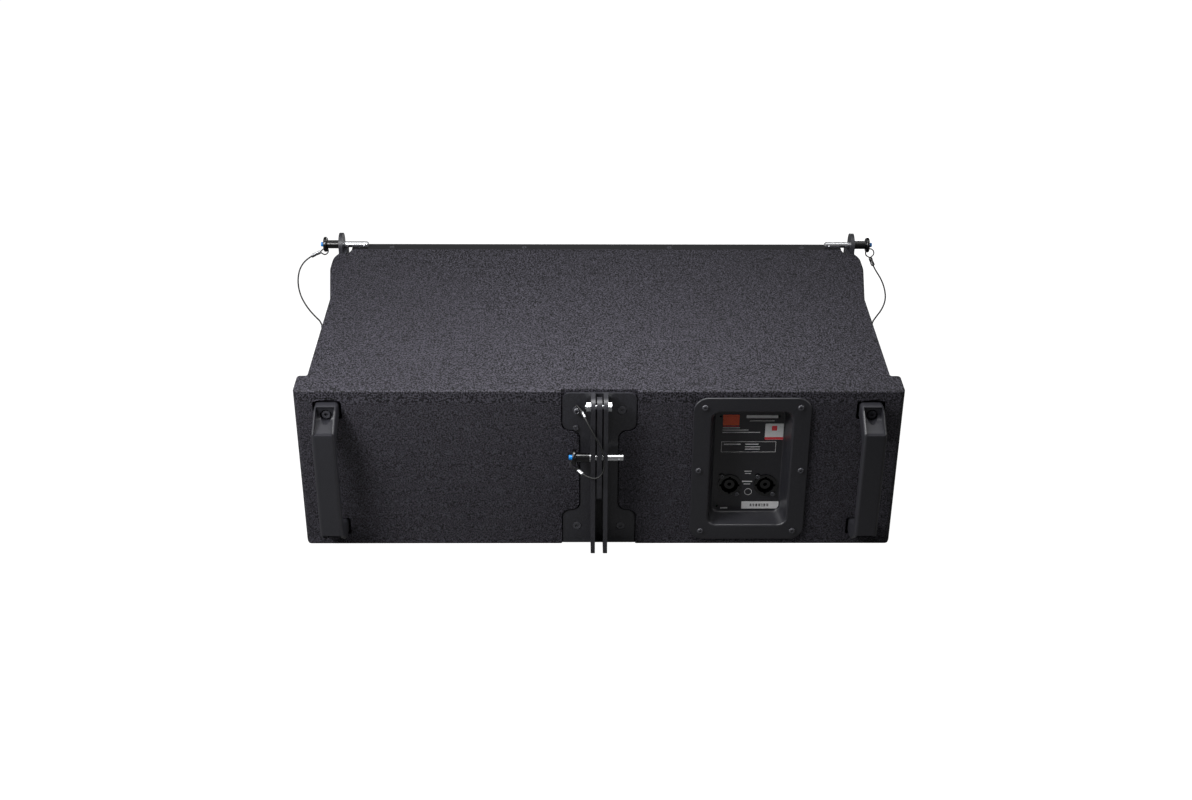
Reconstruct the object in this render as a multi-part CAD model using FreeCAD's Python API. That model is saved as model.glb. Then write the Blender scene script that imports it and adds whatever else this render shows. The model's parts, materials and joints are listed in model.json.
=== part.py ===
import FreeCAD, Part
import math
import os
from FreeCAD import Vector

# Two-way line array loudspeaker with three-point rigging.
# Working axes: X to the right seen from the front, Y rearward with the rear panel's face
# at 0, Z up from the plane half way between the sloping top and bottom. "left" and
# "right" are as seen from the front. stand() then rests the part on its bottom panel.

# cabinet
width = 700.0                      # over the rear block and the front cheeks
waist_width = 676.8                # between them
rear_height = 206.0
wood_depth = 373.5                 # front edge of the panels
taper = math.radians(5.04)         # slope of the top and of the bottom
rear_block = 35.0                  # depth of the wider rear block
panel = 15.0                       # panel thickness
edge_radius = 2.0                  # painted edges
foot_radius = 6.5                  # lower corners of the rear block
cheek_end = 345.0                  # depth at which the corner notches start
notch_wall = 328.7                 # half width of the cabinet between the notches
inner_half = 323.4                 # half width of the cavity
inner_front_half = 313.7           # and of its front end
baffle_rear, baffle_front = 340.0, 355.0

# grille
grille_front = 375.0
sheet = 1.5
grille_return = 18.0               # depth of the grille's top and bottom flanges
grille_screw_depth = 363.0
grille_screw_x = (97.5, 275.5)

# rear rigging
pocket_depth = 4.0
plate_rear = -1.0                  # rear face of the rigging plate
plate_sheet = 3.0
fin_inner, fin_outer = 4.7, 9.8
fin_rear = 25.0
fin_toe = 31.0
rig_y = 13.0                       # pivot, stow pin and link centre line
pivot_z, pivot_r = 89.4, 3.0
pivot_flats, pivot_head, pivot_nut = 10.0, 4.0, 5.0   # 6 mm bolt
stow_z = 23.5
link_half = 3.0                    # half thickness of the rear link
link_round = 11.5
link_low = -28.5
link_eye_z = -16.0
lower_hole_y, lower_hole_z = 17.0, (-84.0, -64.0)

# quick-release pins
pin_r, hole_r = 4.0, 4.1
pin_reach = 38.2                   # shaft beyond the collar
collar_r, collar_long = 5.0, 1.3
grip_r, grip_long = 5.5, 15.5
flange_r, flange_long = 10.0, 4.5
button_r, button_proud, button_travel = 3.0, 4.0, 3.0
running = 0.08                     # radial clearance of parts that turn or slide

# front rigging
link_inner, link_outer = 339.5, 344.5
link_depth = 361.5
link_arm = 15.5
front_pin_z = 139.6
front_link_low = 5.0
lift = 35.0
rail_inner, rail_outer = 334.5, 339.0
rail_front = 372.0
shoulder_z = (95.0, 48.0)
rail_hole_z = -95.2
rail_screw_z = (105.0, 0.0, -105.0)

# handles
handle_x = 312.0
handle_half = 13.25
handle_rear = 40.0
handle_screw_z = (76.8, -76.8)
handle_floor = 9.0                 # floor of the channel in each leg
handle_web = 2.6                   # side walls of the channels
cup_half, cup_low, cup_high, cup_depth = 16.5, 66.0, 89.3, 10.0
cup_arch = 3.6                     # rise of the arched end of the cup

# input panel
input_x = -176.3
input_half_x, input_half_z = 68.0, 95.0
input_proud = 2.5
dish_half_x, dish_high, dish_low = 47.0, 77.0, -75.5
dish_depth = 20.0
dish_draft = 6.0
dish_round = 2.5
socket_x, socket_z = (-156.0, -198.8), -32.5
input_screws_at = ((55, 83), (60, 0), (55, -83), (-55, 83), (-60, 0), (-55, -83))

# drivers
woofer_x = 208.0
basket_r = 103.0


def half_height(depth):
    return rear_height / 2 + depth * math.tan(taper)


def outline(corners, place):
    # corners are (u, v, radius) in order; a radius of 0 leaves the corner sharp
    arcs = []
    for i, (u, v, radius) in enumerate(corners):
        here = Vector(u, v, 0)
        before = Vector(*corners[i - 1][:2], 0)
        after = Vector(*corners[(i + 1) % len(corners)][:2], 0)
        back, on = (before - here).normalize(), (after - here).normalize()
        half_turn = (math.pi - back.getAngle(on)) / 2
        if not radius or half_turn < 1e-6:
            arcs.append((here, None, here))
            continue
        inward = (back + on).normalize()
        middle = here + inward * (radius / math.cos(half_turn) - radius)
        cut = radius * math.tan(half_turn)
        arcs.append((here + back * cut, middle, here + on * cut))
    edges = []
    for i, (start, middle, finish) in enumerate(arcs):
        if middle:
            edges.append(Part.Arc(place(start), place(middle), place(finish)).toShape())
        following = arcs[(i + 1) % len(arcs)][0]
        if finish.distanceToPoint(following) > 1e-6:
            edges.append(Part.LineSegment(place(finish), place(following)).toShape())
    return Part.Wire(edges)


def upright(solid):
    if solid.Volume < 0:
        solid.reverse()
    return solid


def prism(corners, plane, low, high):
    places = {
        "XY": lambda p: Vector(p.x, p.y, low),
        "XZ": lambda p: Vector(p.x, low, p.y),
        "YZ": lambda p: Vector(low, p.x, p.y),
    }
    ways = {"XY": Vector(0, 0, 1), "XZ": Vector(0, 1, 0), "YZ": Vector(1, 0, 0)}
    face = Part.Face(outline([(c + (0,))[:3] for c in corners], places[plane]))
    return upright(face.extrude(ways[plane] * (high - low)))


def block(x0, x1, y0, y1, z0, z1):
    return Part.makeBox(x1 - x0, y1 - y0, z1 - z0, Vector(x0, y0, z0))


def rod(start, finish, radius):
    start, finish = Vector(*start), Vector(*finish)
    way = finish - start
    return Part.makeCylinder(radius, way.Length, start, way)


def turned(profile):
    # profile is (radius, y) and is turned about the Y axis
    corners = [(c + (0,))[:3] for c in profile]
    face = Part.Face(outline(corners, lambda p: Vector(p.x, p.y, 0)))
    return upright(face.revolve(Vector(), Vector(0, 1, 0), 360))


def joined(solids):
    whole = solids[0].multiFuse(solids[1:]).removeSplitter()
    return whole.Solids[0] if len(whole.Solids) == 1 else whole


def moved(shape, x=0, y=0, z=0):
    copy = shape.copy()
    copy.translate(Vector(x, y, z))
    return copy


def other_side(shape):
    return upright(shape.mirror(Vector(), Vector(1, 0, 0)))


def both_sides(solids):
    return solids + [other_side(s) for s in solids]


def hexagon(centre, axis, across_flats, thick):
    # centre is on the face that the axis leaves from
    edge = across_flats / math.sqrt(3)
    points = [
        Vector(edge * math.cos(math.radians(60 * k)), edge * math.sin(math.radians(60 * k)), 0)
        for k in range(6)
    ]
    face = Part.Face(Part.makePolygon(points + points[:1]))
    solid = upright(face.extrude(Vector(0, 0, thick)))
    turn = FreeCAD.Rotation(Vector(0, 0, 1), Vector(*axis))
    solid.Placement = FreeCAD.Placement(Vector(*centre), turn)
    return solid


def wedge(inset, rear_y, front_y, half_x, corner=0):
    # a full-width piece whose top and bottom follow the taper, inset square to them
    drop = inset / math.cos(taper)
    rear_z, front_z = half_height(-rear_y) - drop, half_height(-front_y) - drop
    corners = [
        (rear_y, rear_z, 0), (front_y, front_z, corner),
        (front_y, -front_z, corner), (rear_y, -rear_z, 0),
    ]
    return prism(corners, "YZ", -half_x, half_x)


# ---- cabinet ----

def on_outline(edge):
    middle = edge.valueAt((edge.FirstParameter + edge.LastParameter) / 2)
    ends = [v.Point for v in edge.Vertexes] + [middle]
    sloping = all(abs(abs(p.z) - half_height(-p.y)) < 0.01 for p in ends)
    return sloping and middle.y > 1 - wood_depth


def outer_block():
    right = [
        (width / 2, 0, 5.5), (width / 2, -rear_block, 4),
        (waist_width / 2, -rear_block, 2.5), (waist_width / 2, -221, 40),
        (width / 2, -303, 30), (width / 2, -335.2, 37), (344.7, -cheek_end, 2.6),
        (332, -cheek_end, 3), (notch_wall, -358, 10), (notch_wall, -wood_depth, 0),
    ]
    left = [(-x, y, r) for x, y, r in reversed(right)]
    plan = prism(right + left, "XY", -200, 200)
    solid = plan.common(wedge(0, 0, -wood_depth, width)).Solids[0]
    solid = solid.makeFillet(edge_radius, [e for e in solid.Edges if on_outline(e)])
    return solid.cut(foot_corner(1)).cut(foot_corner(-1)).Solids[0]


def foot_corner(side):
    # what the rounding along the rear block's lower side edge takes away
    edge, foot = width / 2, half_height(0)
    block = Part.makeBox(2 * foot_radius, rear_block, 2 * foot_radius,
                         Vector(edge - foot_radius, -rear_block, -foot - foot_radius))
    rod = Part.makeCylinder(foot_radius, 2 * rear_block,
                            Vector(edge - foot_radius, rear_block, foot_radius - foot), Vector(0, -1, 0))
    corner = block.cut(rod)
    tilted = corner.rotate(Vector(0, 0, -foot), Vector(1, 0, 0), math.degrees(taper))
    if side < 0:
        tilted = tilted.mirror(Vector(0, 0, 0), Vector(1, 0, 0))
    return tilted


def cavity():
    right = [
        (inner_half, -panel, 0), (inner_half, -300, 0),
        (inner_front_half, -325, 0), (inner_front_half, -500, 0),
    ]
    left = [(-x, y, r) for x, y, r in reversed(right)]
    return prism(right + left, "XY", -200, 200).common(wedge(panel, 0, -500, width))


def plate_outline(grow, ends):
    # the rigging plate's I shape, or its pocket when grown; ends are (z, radius)
    (top, top_r), (bottom, bottom_r) = ends
    wide, waist, step_r = 42.7 + grow, 22.0 + grow, 10.0
    right = [
        (wide, top, top_r), (wide, 52 - grow, step_r), (waist, 52 - grow, step_r),
        (waist, -56 + grow, step_r), (wide, -56 + grow, step_r), (wide, bottom, bottom_r),
    ]
    return right + [(-x, z, r) for x, z, r in reversed(right)]


def handle_cup(up):
    low, high = up * cup_low, up * cup_high
    corners = [
        (handle_x - cup_half, low, 4), (handle_x + cup_half, low, 4),
        (handle_x + cup_half, high, 3.5), (handle_x, high + up * cup_arch, 60),
        (handle_x - cup_half, high, 3.5),
    ]
    return prism(corners, "XZ", -cup_depth, 1)


def cabinet_cuts():
    pocket = prism(plate_outline(1.4, ((120, 0), (-120, 0))), "XZ", -pocket_depth, 1)
    opening = block(
        input_x - dish_half_x - 5, input_x + dish_half_x + 5, -panel - 1, 1,
        dish_low - 5, dish_high + 5,
    )
    rebate = block(333.5, 346, -cheek_end - 1, -cheek_end + 3, -200, 200)
    flange_band = block(-width, width, -wood_depth - 1, -grille_front + grille_return, -200, 200)
    flange_gap = flange_band.cut(wedge(sheet, 0, -400, width))
    cups = both_sides([handle_cup(1), handle_cup(-1)])
    return [pocket, opening, flange_gap] + both_sides([rebate]) + cups


def cabinet_panels(drillings):
    shell = outer_block().cut(cavity())
    shell = shell.cut(cabinet_cuts() + drillings)
    core = wedge(panel, 20, -400, width)
    skins = shell.cut(core)
    walls = shell.common(core)
    middle = block(-inner_half, inner_half, -panel, 10, -200, 200)
    sides = walls.cut(middle)
    return {
        "top_panel": skins.common(block(-400, 400, -400, 10, 0, 200)),
        "bottom_panel": skins.common(block(-400, 400, -400, 10, -200, 0)),
        "rear_panel": walls.common(middle),
        "right_side_panel": sides.common(block(300, 400, -400, 10, -200, 200)),
        "left_side_panel": sides.common(block(-400, -300, -400, 10, -200, 200)),
    }


def front_baffle():
    board = wedge(panel + 0.3, -baffle_rear, -baffle_front, inner_front_half - 0.3)
    holes = [
        rod((x, -300, 0), (x, -400, 0), 92) for x in (woofer_x, -woofer_x)
    ] + [block(-84, 84, -400, -300, -100, 100)]
    pilots = [rod((x, -400, z), (x, -baffle_front + 12.5, z), 2.6) for x, z in driver_screw_places()]
    return board.cut(holes + pilots)


def internal_braces():
    tall = wedge(panel + 0.3, -panel - 0.3, -baffle_rear + 0.3, 400)
    braces = []
    for x in (95, -107):
        brace = tall.common(block(x, x + 12, -400, 0, -200, 200))
        windows = [
            prism([(y, -58, 20), (y - 100, -58, 20), (y - 100, 58, 20), (y, 58, 20)], "YZ", x - 1, x + 13)
            for y in (-55, -185)
        ]
        braces.append(brace.cut(windows))
    return Part.Compound(braces)


# ---- grille ----

def grille():
    outer = wedge(0, -grille_front + grille_return, -grille_front, notch_wall - 0.2, 3)
    inner = wedge(sheet, 0, -wood_depth, width)
    holes = [grille_screw(top, normal, 0.15) for top, normal in grille_screw_places()]
    return outer.cut([inner] + holes)


def grille_screw_places():
    # (head's centre on the sloping face, the face's outward normal)
    places = []
    for side in (1, -1):
        normal = Vector(0, math.sin(taper), side * math.cos(taper))
        for x in grille_screw_x + tuple(-x for x in grille_screw_x):
            top = Vector(x, -grille_screw_depth, side * half_height(grille_screw_depth))
            places.append((top, normal))
    return places


def grille_screw(top, normal, grow=0.0):
    above = top + normal * grow
    head = Part.makeCylinder(3.2 + grow, sheet + 2 * grow, above, -normal)
    shank = Part.makeCylinder(1.7 + grow, 12 + 2 * grow, above, -normal)
    return joined([head, shank])


def grille_screws():
    screws = [
        grille_screw(top, normal).cut(hexagon(top - normal * 1.0, normal, 2.5, 2))
        for top, normal in grille_screw_places()
    ]
    return Part.Compound(screws)


def grille_foam():
    return wedge(panel + 1, -baffle_front - 13, -wood_depth + 0.5, inner_front_half - 0.5)


# ---- handles ----

def below(corners):
    return [(y, -z, r) for y, z, r in reversed(corners)]


def handle():
    outside = [(-cup_depth, 88.2, 1.5), (7, 88.2, 5), (16, 86.5, 4), (handle_rear, 68.5, 4)]
    inside = [(28, 55, 14), (2, 67.5, 8), (-cup_depth, 67.5, 1.5)]
    corners = outside + below(outside) + below(inside) + inside
    body = prism(corners, "YZ", handle_x - handle_half, handle_x + handle_half)
    long_edges = [e for e in body.Edges if bar_edge(e)]
    body = body.makeFillet(4, long_edges)
    # the channel is open at its end but for a low lip
    channel = [
        (60, 66.5, 0), (34, 66.5, 3), (handle_floor, 73, 6), (handle_floor, 86.4, 0.6),
        (handle_floor + 1.2, 87.4, 0.6), (handle_floor + 1.2, 110, 0), (60, 110, 0),
    ]
    web = handle_half - handle_web
    cuts = []
    for side in (channel, below(channel)):
        cuts.append(prism(side, "YZ", handle_x - web, handle_x + web))
    for z in handle_screw_z:
        cuts.append(rod((handle_x, 4, z), (handle_x, 20, z), 6.9))
        cuts.append(rod((handle_x, -20, z), (handle_x, 20, z), 2.6))
    return body.cut(cuts)


def bar_edge(edge):
    # the long edges of the bar's outer face
    ends = [v.Point for v in edge.Vertexes]
    return all(abs(p.y - handle_rear) < 0.01 for p in ends) and edge.Length > 100


def cap_screw(centre, way, head, shank, socket, dome=0.4):
    # centre is on the seat of the head, way points out of the hole; head and shank are
    # (radius, length), socket is the hexagon's width across flats, dome rounds the head
    centre, way = Vector(*centre), Vector(*way)
    top = Part.makeCylinder(head[0], head[1], centre, way)
    crown = centre + way * head[1]
    top = top.makeFillet(dome, [e for e in top.Edges if e.isClosed()
                                and e.CenterOfMass.distanceToPoint(crown) < 0.01])
    stem = Part.makeCylinder(shank[0], shank[1], centre, -way)
    recess = hexagon(centre + way * (head[1] * 0.45), way, socket, head[1])
    return joined([top, stem]).cut(recess)


def handle_screws():
    screws = [
        cap_screw((handle_x, 4, z), (0, 1, 0), (5.0, 4), (2.5, 26), 4) for z in handle_screw_z
    ]
    return Part.Compound(both_sides(screws))


# ---- input panel ----

def input_plate():
    rim = [
        (input_x + x, z, 17) for x, z in (
            (input_half_x, input_half_z), (input_half_x, -input_half_z),
            (-input_half_x, -input_half_z), (-input_half_x, input_half_z),
        )
    ]
    flange = prism(rim, "XZ", 0, input_proud)
    flange = flange.makeFillet(1.2, [e for e in flange.Edges if on_face(e, input_proud)])
    shell = tapered_dish(dish_half_x + 3, dish_high + 3, dish_low - 3, dish_depth + 3, 12)
    hollow = tapered_dish(dish_half_x, dish_high, dish_low, dish_depth, 10)
    plate = flange.fuse(shell).cut(hollow).removeSplitter()
    plate = plate.makeFillet(dish_round, [e for e in plate.Edges if on_dish(e, input_proud, 0)])
    plate = plate.makeFillet(dish_round, [e for e in plate.Edges if on_dish(e, -dish_depth, dish_draft)])
    holes = [rod((x, -30, z), (x, 10, z), 12.6) for x, z in socket_places()]
    holes += [rod((x, -30, z), (x, 10, z), 1.6) for x, z in socket_screw_places()]
    holes += [rod((input_x + x, -10, z), (input_x + x, 10, z), 2.1) for x, z in input_screws_at]
    holes += [rod((x, -30, z), (x, -dish_depth + 1, z), 1.6) for x, z in board_post_places()]
    return plate.cut(holes).removeSplitter()


def on_face(edge, y):
    return all(abs(v.Point.y - y) < 0.01 for v in edge.Vertexes)


def on_dish(edge, y, inset):
    # edges of the dish's rim or of its floor
    inside = all(
        abs(v.Point.x - input_x) < dish_half_x - inset + 0.1
        and dish_low + inset - 0.1 < v.Point.z < dish_high - inset + 0.1 for v in edge.Vertexes
    )
    return inside and on_face(edge, y)


def tapered_dish(half_x, high, low, depth, corner):
    # a drafted tub from the panel's face down to its floor
    wires = []
    for inset, y in ((0, input_proud + 0.01), (dish_draft, -depth)):
        corners = [
            (input_x + half_x - inset, high - inset, corner),
            (input_x + half_x - inset, low + inset, corner),
            (input_x - half_x + inset, low + inset, corner),
            (input_x - half_x + inset, high - inset, corner),
        ]
        wires.append(outline(corners, lambda p, y=y: Vector(p.x, y, p.y)))
    return upright(Part.makeLoft(wires, True, True))


def socket_places():
    return [(x, socket_z) for x in socket_x]


def socket_screw_places():
    # upper corner towards the cabinet's middle, lower corner away from it
    return [
        (x + side * 9.5, socket_z + side * 12) for x in socket_x for side in (1, -1)
    ]


def speaker_socket(x):
    floor = -dish_depth
    flange = rod((x, floor, socket_z), (x, floor + 1.5, socket_z), 14)
    ears = [
        rod((x + side * 9.5, floor, socket_z + side * 12),
            (x + side * 9.5, floor + 1.5, socket_z + side * 12), 3.4)
        for side in (1, -1)
    ]
    body = rod((x, floor - 26, socket_z), (x, floor + 1.5, socket_z), 12.5)
    well = rod((x, floor - 20, socket_z), (x, floor + 3, socket_z), 10.3)
    core = rod((x, floor - 26, socket_z), (x, floor - 1, socket_z), 6.2)
    eye = rod((x, floor - 9, socket_z), (x, floor + 1, socket_z), 2.3)
    keys = [
        block(x - 12, x + 12, floor - 18, floor + 3, socket_z - 1.4, socket_z + 1.4),
        block(x - 1.4, x + 1.4, floor - 18, floor + 3, socket_z - 11.6, socket_z + 11.6),
    ]
    slots = [k.cut(rod((x, -60, socket_z), (x, 10, socket_z), 6.3)) for k in keys]
    holes = [
        rod((x + side * 9.5, floor - 5, socket_z + side * 12),
            (x + side * 9.5, floor + 5, socket_z + side * 12), 1.6)
        for side in (1, -1)
    ]
    shell = joined([flange, body] + ears).cut([well] + slots + holes)
    return shell.fuse(core).cut(eye)


def speaker_sockets():
    return Part.Compound([speaker_socket(x) for x in socket_x])


def input_screws():
    screws = [
        cap_screw((input_x + x, input_proud, z), (0, 1, 0), (3.6, 1.9), (2.0, 12), 2.5, 1.3)
        for x, z in input_screws_at
    ]
    screws += [
        cap_screw((x, 1.5 - dish_depth, z), (0, 1, 0), (2.6, 1.2), (1.5, 6), 1.5)
        for x, z in socket_screw_places()
    ]
    return Part.Compound(screws)


def board_post_places():
    return [(input_x + x, z) for x in (-34, 34) for z in (60, -62)]


def crossover_board():
    posts = [rod((x, -54, z), (x, -dish_depth - 3.2, z), 3) for x, z in board_post_places()]
    board = block(input_x - 43, input_x + 43, -55.6, -54, -70, 70)
    return Part.Compound([board] + posts)


def crossover_parts():
    # air-core coils, capacitors and resistors on the rear of the board
    back = -55.7
    parts = []
    for x, z, outer in ((-20, 45, 19), (20, -48, 16)):
        coil = rod((input_x + x, back - 16, z), (input_x + x, back, z), outer)
        parts.append(coil.cut(rod((input_x + x, -100, z), (input_x + x, 0, z), outer - 9)))
    for x, z in ((22, 52), (22, 28), (-22, -50)):
        parts.append(rod((input_x + x - 14, back - 8.1, z), (input_x + x + 14, back - 8.1, z), 8))
    for z in (-2, -16):
        parts.append(block(input_x - 30, input_x + 5, back - 9, back, z - 4, z + 4))
    return Part.Compound(parts)


# ---- drivers ----

def driver_screw_places():
    places = []
    for side in (1, -1):
        for k in range(8):
            turn = math.radians(22.5 + 45 * k)
            places.append((side * woofer_x + 97 * math.cos(turn), 97 * math.sin(turn)))
    return places + [(x, z) for x in (-89, 89) for z in (-95, 0, 95)]


def driver_screws():
    screws = []
    for x, z in driver_screw_places():
        seat = -baffle_front - 3.5
        screws.append(cap_screw((x, seat, z), (0, -1, 0), (4.2, 2.6), (2.4, 15), 3))
    return Part.Compound(screws)


def woofer(x):
    # profiles are (radius, depth behind the baffle's front face)
    def ring(profile):
        return moved(turned([(c[0], c[1] - baffle_front) + c[2:] for c in profile]), x)

    basket = ring([
        (89, -3.5), (basket_r, -3.5), (basket_r, 0), (91, 0), (60, 56), (60, 64), (28, 64), (28, 61),
        (50, 61), (50, 51), (57, 51), (88, -1),
    ])
    windows = []
    for k in range(6):
        window = prism([(-baffle_front + 12, -26, 6), (-baffle_front + 45, -19, 6),
                        (-baffle_front + 45, 19, 6), (-baffle_front + 12, 26, 6)], "YZ", 50, 120)
        window.rotate(Vector(), Vector(0, 1, 0), 30 + 60 * k)
        windows.append(moved(window, x))
    pilots = [
        rod((sx, -400, z), (sx, -300, z), 2.6) for sx, z in driver_screw_places() if sx * x > 0
        and math.hypot(sx - x, z) < 100
    ]
    basket = basket.cut(windows + pilots)
    magnet = ring([(32, 70), (62, 70), (62, 88), (32, 88)])
    top_plate = ring([(27, 64), (60, 64), (60, 70), (27, 70)])
    pole = ring([(0, 62), (24.2, 62), (24.2, 88), (60, 88), (60, 94), (0, 94)])
    cone = ring([(26, 42), (78, 7), (79.5, 7), (79.5, 8.2), (78, 8.4), (26, 43.6)])
    cap = Part.makeSphere(40, Vector(), Vector(0, 1, 0))
    cap = cap.cut(Part.makeSphere(39, Vector(), Vector(0, 1, 0)))
    dome_y = 26 - baffle_front
    cap = moved(cap, x, dome_y + 28.5)
    cap = cap.common(rod((x, dome_y - 20, 0), (x, dome_y, 0), 60))
    coil = ring([(25.2, 40), (26, 40), (26, 76), (25.2, 76)])
    surround = ring([
        (79.6, 8.2, 0), (79.6, -9, 4.4), (88.9, -9, 4.4), (88.9, -4.4, 0), (92, -4.4, 0),
        (92, -3.6, 0), (88.1, -3.6, 0), (88.1, -8.2, 3.6), (80.4, -8.2, 3.6), (80.4, 8.2, 0),
    ])
    spider = ring([(26.1, 48), (56.6, 48), (56.6, 50.9), (50.1, 50.9), (50.1, 49), (26.1, 49)])
    return {
        "basket": basket, "magnet": magnet, "yoke": Part.Compound([top_plate, pole]),
        "cone": cone, "dust_cap": cap, "voice_coil": coil, "surround": surround, "spider": spider,
    }


def waveguide():
    def shell(grow, reach):
        wires = []
        for half_x, half_z, y in ((78, 94, -baffle_front - reach), (18, 18, -275 + reach)):
            corners = [
                (half_x + grow, half_z + grow, 6), (half_x + grow, -half_z - grow, 6),
                (-half_x - grow, -half_z - grow, 6), (-half_x - grow, half_z + grow, 6),
            ]
            wires.append(outline(corners, lambda p, y=y: Vector(p.x, y, p.y)))
        return upright(Part.makeLoft(wires, True, True))

    frame = block(-97, 97, -baffle_front - 3.5, -baffle_front, -112, 112)
    throat = rod((0, -276, 0), (0, -269, 0), 38)
    horn = joined([frame, shell(4, 0), throat]).cut([shell(0, 4), rod((0, -300, 0), (0, -260, 0), 18)])
    pilots = [rod((x, -400, z), (x, -300, z), 2.6) for x, z in driver_screw_places()[-6:]]
    return horn.cut(pilots)


def compression_driver():
    body = rod((0, -268.9, 0), (0, -231, 0), 43)
    return body.cut(rod((0, -270, 0), (0, -250, 0), 17))


def driver_cap():
    return rod((0, -230.9, 0), (0, -214, 0), 36)


# ---- rear rigging ----

def rear_rigging_plate():
    ends = ((99.7, 9), (-101.5, 3))
    plate = prism(plate_outline(0, ends), "XZ", plate_rear - plate_sheet, plate_rear)
    recesses = [rod((x, plate_rear - 2, z), (x, 5, z), 5.6) for x, z in rear_screw_places()]
    holes = [rod((x, -20, z), (x, 5, z), 3.1) for x, z in rear_screw_places()]
    return plate.cut(recesses + holes + [rod((27, -20, 55.5), (27, 5, 55.5), 2.1)])


def rear_screw_places():
    return [(x, z) for x in (-26, 26) for z in (-78, 78)]


def rear_plate_screws():
    screws = [
        cap_screw((x, plate_rear - 2, z), (0, 1, 0), (5.2, 2), (3.0, 24), 4)
        for x, z in rear_screw_places()
    ]
    screws.append(cap_screw((27, plate_rear, 55.5), (0, 1, 0), (3.2, 1.8), (2.0, 12), 2.5))
    return Part.Compound(screws)


def rear_fork_plates():
    corners = [
        (plate_rear, 101.5, 0), (fin_rear, 101.5, 12), (fin_rear, -12, 60),
        (fin_toe, -95, 4), (fin_toe - 4, -99, 0), (plate_rear, -101.5, 0),
    ]
    fin = prism(corners, "YZ", fin_inner, fin_outer)
    bores = [rod((0, rig_y, pivot_z), (20, rig_y, pivot_z), pivot_r + running)]
    bores += [rod((0, rig_y, stow_z), (20, rig_y, stow_z), hole_r)]
    bores += [rod((0, lower_hole_y, z), (20, lower_hole_y, z), hole_r) for z in lower_hole_z]
    return Part.Compound(both_sides([fin.cut(bores)]))


def rear_link():
    corners = [
        (rig_y - link_round, pivot_z + link_round, link_round - 0.01),
        (rig_y + link_round, pivot_z + link_round, link_round - 0.01),
        (rig_y + link_round, link_low, 5), (rig_y - link_round, link_low, 5),
    ]
    link = prism(corners, "YZ", -link_half, link_half)
    # the stow slot is open towards the cabinet and follows the pin's arc as the link swings
    slot = [
        (rig_y + 4.4, stow_z + 4.6, 4.2), (rig_y + 4.4, stow_z - 4.4, 4.2),
        (rig_y - 20, stow_z - 4.4, 0), (rig_y - 20, stow_z + 6.6, 0),
    ]
    return link.cut([
        prism(slot, "YZ", -5, 5),
        rod((-5, rig_y, pivot_z), (5, rig_y, pivot_z), pivot_r + running),
        rod((-5, rig_y, link_eye_z), (5, rig_y, link_eye_z), hole_r),
    ])


def rear_pivot_bolt():
    head = hexagon((-fin_outer - 0.1, rig_y, pivot_z), (-1, 0, 0), pivot_flats, pivot_head)
    shank = rod((-fin_outer - 0.1, rig_y, pivot_z), (fin_outer + pivot_nut + 1.5, rig_y, pivot_z), pivot_r)
    return joined([head, shank])


def rear_pivot_nut():
    nut = hexagon((fin_outer + 0.1, rig_y, pivot_z), (1, 0, 0), pivot_flats, pivot_nut)
    return nut.cut(rod((0, rig_y, pivot_z), (30, rig_y, pivot_z), pivot_r + 0.02))


# ---- front rigging ----

def front_link():
    corners = [
        (-link_depth - link_arm, front_pin_z + link_arm, link_arm - 0.01),
        (-link_depth + link_arm, front_pin_z + link_arm, link_arm - 0.01),
        (-link_depth + link_arm, front_link_low, 6), (-link_depth - link_arm, front_link_low, 6),
    ]
    link = prism(corners, "YZ", link_inner, link_outer)
    slots = []
    for z in shoulder_z:
        high, low = z + pin_r + 0.2, z - lift - pin_r - 0.2
        slot = [
            (y, w, pin_r + 0.19) for y, w in (
                (-link_depth - pin_r - 0.2, high), (-link_depth + pin_r + 0.2, high),
                (-link_depth + pin_r + 0.2, low), (-link_depth - pin_r - 0.2, low),
            )
        ]
        slots.append(prism(slot, "YZ", 300, 400))
    eye = rod((300, -link_depth, front_pin_z), (400, -link_depth, front_pin_z), hole_r)
    return link.cut(slots + [eye])


def front_rail():
    foot = wedge(0.4, -cheek_end + 3, -cheek_end, 400).common(block(rail_inner, 344.5, -400, 0, -200, 200))
    web = wedge(0.4, -cheek_end + 3, -rail_front, 400).common(
        block(rail_inner, rail_outer, -400, 0, -200, 200))
    rail = joined([foot, web])
    bores = [rod((300, -link_depth, z), (400, -link_depth, z), pin_r + 0.02) for z in shoulder_z]
    bores.append(rod((300, -link_depth, rail_hole_z), (400, -link_depth, rail_hole_z), hole_r))
    bores += [rod((341.8, -400, z), (341.8, -300, z), 1.7) for z in rail_screw_z]
    return rail.cut(bores)


def front_rail_bolts():
    bolts = []
    for z in shoulder_z:
        bolts.append(cap_screw((link_outer + 0.3, -link_depth, z), (1, 0, 0), (7, 3.5),
                               (pin_r, link_outer + 0.3 - rail_inner), 4))
    return Part.Compound(both_sides(bolts))


def front_rail_screws():
    screws = [
        rod((341.8, -cheek_end - 0.1, z), (341.8, -cheek_end + 22, z), 1.6) for z in rail_screw_z
    ]
    return Part.Compound(both_sides(screws))


# ---- quick-release pins ----

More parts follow.
